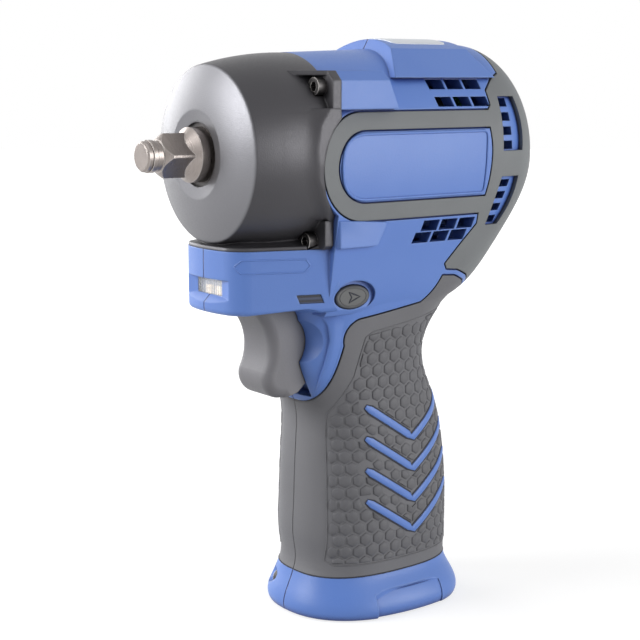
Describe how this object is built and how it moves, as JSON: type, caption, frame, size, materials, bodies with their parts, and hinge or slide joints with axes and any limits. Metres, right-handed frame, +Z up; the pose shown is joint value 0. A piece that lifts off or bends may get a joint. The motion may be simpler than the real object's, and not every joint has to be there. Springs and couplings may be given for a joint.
{
  "type": "cordless impact wrench",
  "caption": "Pistol-grip cordless impact wrench with square drive, sprung hammer on a planetary spindle, motor, slide trigger, direction button and open battery well.",
  "frame": {"origin": "middle of the mouth of the battery well, in the plane of the base rim", "axes": "+Z up along the grip, the drive points towards -X, the side seen in the picture faces -Y"},
  "size_m": [0.1406, 0.0586, 0.1788],
  "materials": {
    "housing_blue": "satin moulded plastic",
    "overmould_grey": "soft matt rubber",
    "case_charcoal": "dark painted die casting",
    "dark_steel": "blackened steel",
    "bright_steel": "ground steel",
    "bronze": "plain bronze",
    "magnet": "nickel grey",
    "copper": "enamelled wire",
    "black_plastic": "fine matt",
    "circuit_board": "solder mask",
    "clear_lens": "clear moulded lens"
  },
  "bodies": {
    "housing": {"housing_left": "housing_blue", "housing_right": "housing_blue", "head_overmould_left": "overmould_grey", "head_overmould_right": "overmould_grey", "grip_overmould_left": "overmould_grey", "grip_overmould_right": "overmould_grey", "hammer_case": "case_charcoal", "case_screws": "dark_steel", "housing_screws": "dark_steel", "nose_bushing": "bronze", "ring_gear": "dark_steel", "gear_housing": "black_plastic", "spindle_bearing": "bright_steel", "motor_front_bearing": "bright_steel", "motor_rear_bearing": "bright_steel", "stator_core": "dark_steel", "stator_windings": "copper", "hall_sensor_board": "circuit_board", "switch_module": "black_plastic", "trigger_spring": "bright_steel", "led_lens": "clear_lens", "led_board": "circuit_board", "gauge_lens": "clear_lens", "controller_tray": "black_plastic", "controller_board": "circuit_board", "battery_terminal_block": "black_plastic", "battery_contacts": "bronze"},
    "anvil": {"anvil": "dark_steel", "friction_ring": "bright_steel"},
    "spindle": {"spindle": "bright_steel", "cam_balls": "bright_steel", "planet_pins": "bright_steel", "hammer_spring": "bright_steel"},
    "hammer": {"hammer": "dark_steel"},
    "planet_1": {"planet_gear_1": "bright_steel"},
    "planet_2": {"planet_gear_2": "bright_steel"},
    "planet_3": {"planet_gear_3": "bright_steel"},
    "rotor": {"rotor_shaft": "bright_steel", "rotor_core": "dark_steel", "rotor_magnets": "magnet", "cooling_fan": "black_plastic"},
    "trigger": {"trigger": "black_plastic", "trigger_plunger": "black_plastic"},
    "direction_button": {"direction_button": "black_plastic"}
  },
  "joints": [
    {"name": "spindle_spin", "type": "hinge", "parent": "housing", "child": "spindle", "pos_m": [-0.03, 0, 0.145], "axis": [1, 0, 0], "continuous": true},
    {"name": "anvil_spin", "type": "hinge", "parent": "housing", "child": "anvil", "pos_m": [-0.06, 0, 0.145], "axis": [1, 0, 0], "continuous": true},
    {"name": "rotor_spin", "type": "hinge", "parent": "housing", "child": "rotor", "pos_m": [0.014, 0, 0.145], "axis": [1, 0, 0], "continuous": true},
    {"name": "planet_1_spin", "type": "hinge", "parent": "spindle", "child": "planet_1", "pos_m": [-0.02, 0, 0.1558], "axis": [1, 0, 0], "continuous": true},
    {"name": "planet_2_spin", "type": "hinge", "parent": "spindle", "child": "planet_2", "pos_m": [-0.02, -0.00935, 0.1396], "axis": [1, 0, 0], "continuous": true},
    {"name": "planet_3_spin", "type": "hinge", "parent": "spindle", "child": "planet_3", "pos_m": [-0.02, 0.00935, 0.1396], "axis": [1, 0, 0], "continuous": true},
    {"name": "hammer_slide", "type": "slide", "parent": "spindle", "child": "hammer", "axis": [1, 0, 0], "range_m": [0, 0.0056], "stiffness_N_per_m": 12000, "springref_m": -0.003, "deforming": ["hammer_spring"]},
    {"name": "trigger_slide", "type": "slide", "parent": "housing", "child": "trigger", "axis": [1, 0, 0], "range_m": [0, 0.006], "stiffness_N_per_m": 800, "springref_m": -0.004, "deforming": ["trigger_spring"]},
    {"name": "direction_slide", "type": "slide", "parent": "housing", "child": "direction_button", "axis": [0, 1, 0], "range_m": [-0.0025, 0.0025]}
  ],
  "couplings": [
    {"joint": "anvil_spin", "follows": "spindle_spin", "ratio": 1},
    {"joint": "rotor_spin", "follows": "spindle_spin", "ratio": 4.5},
    {"joint": "planet_1_spin", "follows": "spindle_spin", "ratio": -2.8},
    {"joint": "planet_2_spin", "follows": "spindle_spin", "ratio": -2.8},
    {"joint": "planet_3_spin", "follows": "spindle_spin", "ratio": -2.8}
  ]
}
